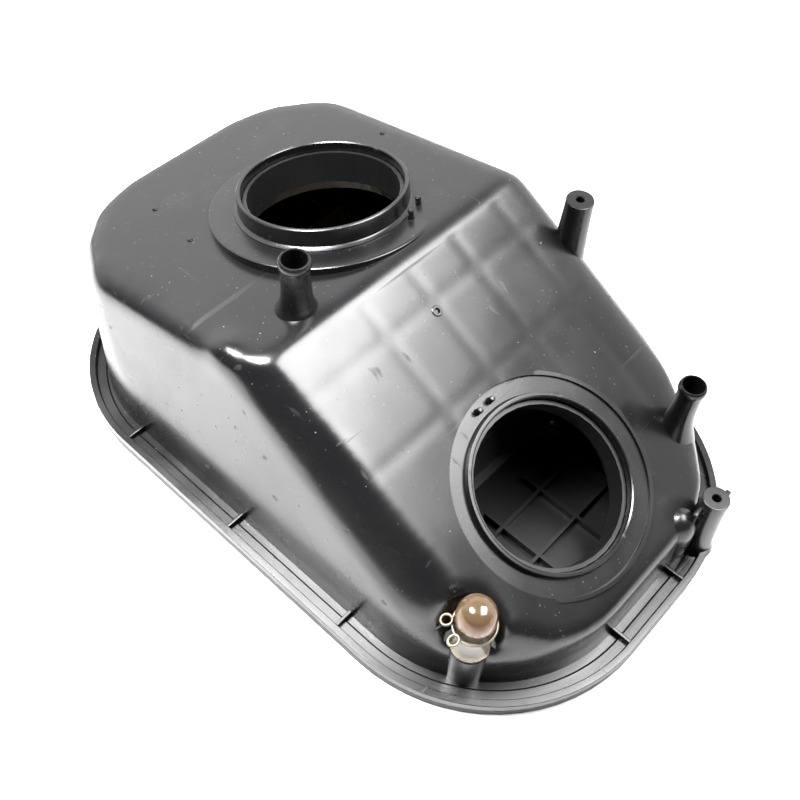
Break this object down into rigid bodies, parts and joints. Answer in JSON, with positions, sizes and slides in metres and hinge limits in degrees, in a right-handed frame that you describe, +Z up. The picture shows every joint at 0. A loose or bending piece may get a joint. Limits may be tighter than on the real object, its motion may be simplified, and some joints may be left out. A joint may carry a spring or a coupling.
{
  "type": "air filter housing",
  "caption": "Motorcycle air filter housing with two tilted intake collars, breather spigots, screw posts, drain cap, ribbed lid and pleated element.",
  "frame": {"origin": "middle of the rim's box on the surface that the lid's skirt stands on", "axes": "+X from the tall rear end to the low front end, +Y across, +Z up from the lid to the ports"},
  "size_m": [0.3634, 0.2392, 0.156],
  "materials": {
    "case_plastic": "black moulded plastic, semi-gloss, lightly scuffed",
    "lid_plastic": "black moulded plastic, semi-gloss",
    "funnel_plastic": "black moulded plastic, satin",
    "frame_plastic": "black moulded plastic, fine grained",
    "seal_rubber": "black nitrile rubber",
    "duct_rubber": "black moulded rubber",
    "filter_paper": "oiled pleated paper, light brown",
    "screen_steel": "dark coated wire screen",
    "cap_plastic": "see-through soft plastic with an oily amber film",
    "clip_steel": "zinc plated spring wire",
    "screw_steel": "zinc plated steel"
  },
  "bodies": {
    "cover": {"top_cover": "lid_plastic", "cover_seal": "seal_rubber", "inlet_duct": "duct_rubber", "cover_screw_1": "screw_steel", "cover_screw_2": "screw_steel", "cover_screw_3": "screw_steel", "cover_screw_4": "screw_steel", "cover_screw_5": "screw_steel", "cover_screw_6": "screw_steel", "cover_screw_7": "screw_steel", "cover_screw_8": "screw_steel"},
    "case": {"lower_case": "case_plastic", "funnel_rear": "funnel_plastic", "funnel_front": "funnel_plastic"},
    "filter": {"filter_frame": "frame_plastic", "filter_seal": "seal_rubber", "filter_media": "filter_paper", "filter_screen": "screen_steel", "filter_screw_1": "screw_steel", "filter_screw_2": "screw_steel", "filter_screw_3": "screw_steel", "filter_screw_4": "screw_steel"},
    "cap": {"drain_cap": "cap_plastic"},
    "clip": {"drain_clip": "clip_steel"}
  },
  "joints": [
    {"name": "case_lift", "type": "slide", "parent": "cover", "child": "case", "axis": [0, 0, 1], "range_m": [0, 0.06]},
    {"name": "filter_lift", "type": "slide", "parent": "cover", "child": "filter", "axis": [0, 0, 1], "range_m": [0, 0.03]},
    {"name": "cap_pull", "type": "slide", "parent": "case", "child": "cap", "axis": [0, 0, 1], "range_m": [0, 0.03]},
    {"name": "clip_slide", "type": "slide", "parent": "cap", "child": "clip", "axis": [0, 0, 1], "range_m": [-0.012, 0.004]}
  ],
  "couplings": [
    {"joint": "filter_lift", "follows": "case_lift", "ratio": 0.5}
  ]
}
